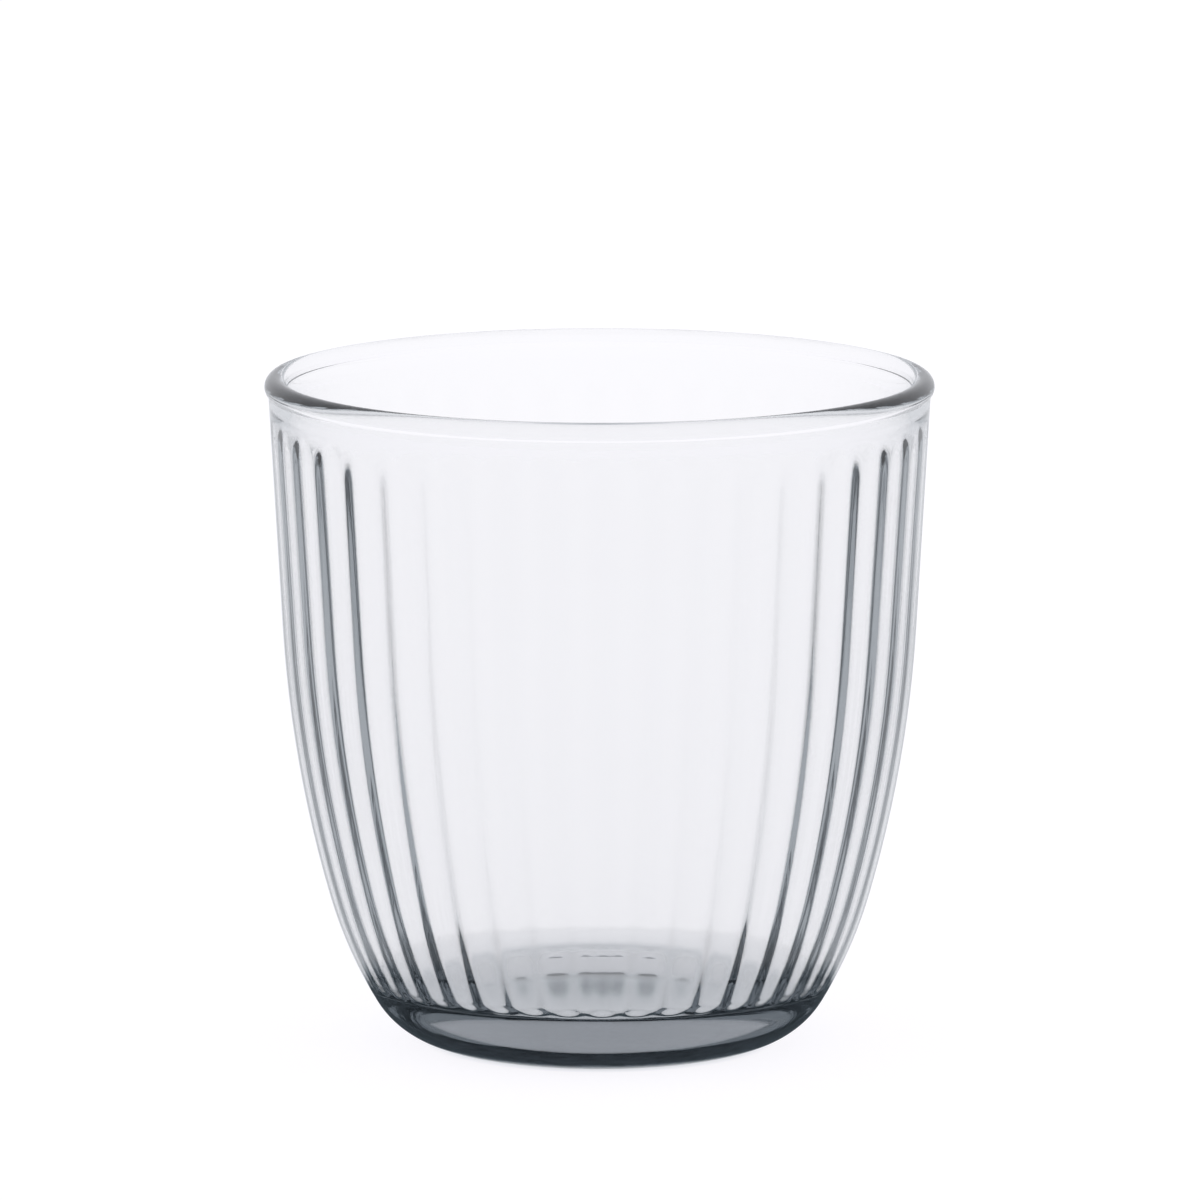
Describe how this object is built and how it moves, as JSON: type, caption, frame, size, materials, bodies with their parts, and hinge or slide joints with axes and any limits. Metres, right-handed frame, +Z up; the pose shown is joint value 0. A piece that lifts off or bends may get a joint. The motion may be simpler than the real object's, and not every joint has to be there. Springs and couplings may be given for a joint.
{
  "type": "juice glass",
  "caption": "Low tumbler of clear pressed glass for juice, with a flared wall that is ribbed on the inside, a plain rounded rim and a heavy base.",
  "frame": {"origin": "centre of the base, on the surface the glass stands on", "axes": "+Z up along the axis of the glass, out of its mouth; -Y faces the viewer of the picture"},
  "size_m": [0.0846, 0.0846, 0.0853],
  "materials": {
    "clear_glass": "clear, fire polished, very pale grey blue"
  },
  "bodies": {
    "root": {"tumbler": "clear_glass"}
  },
  "joints": []
}
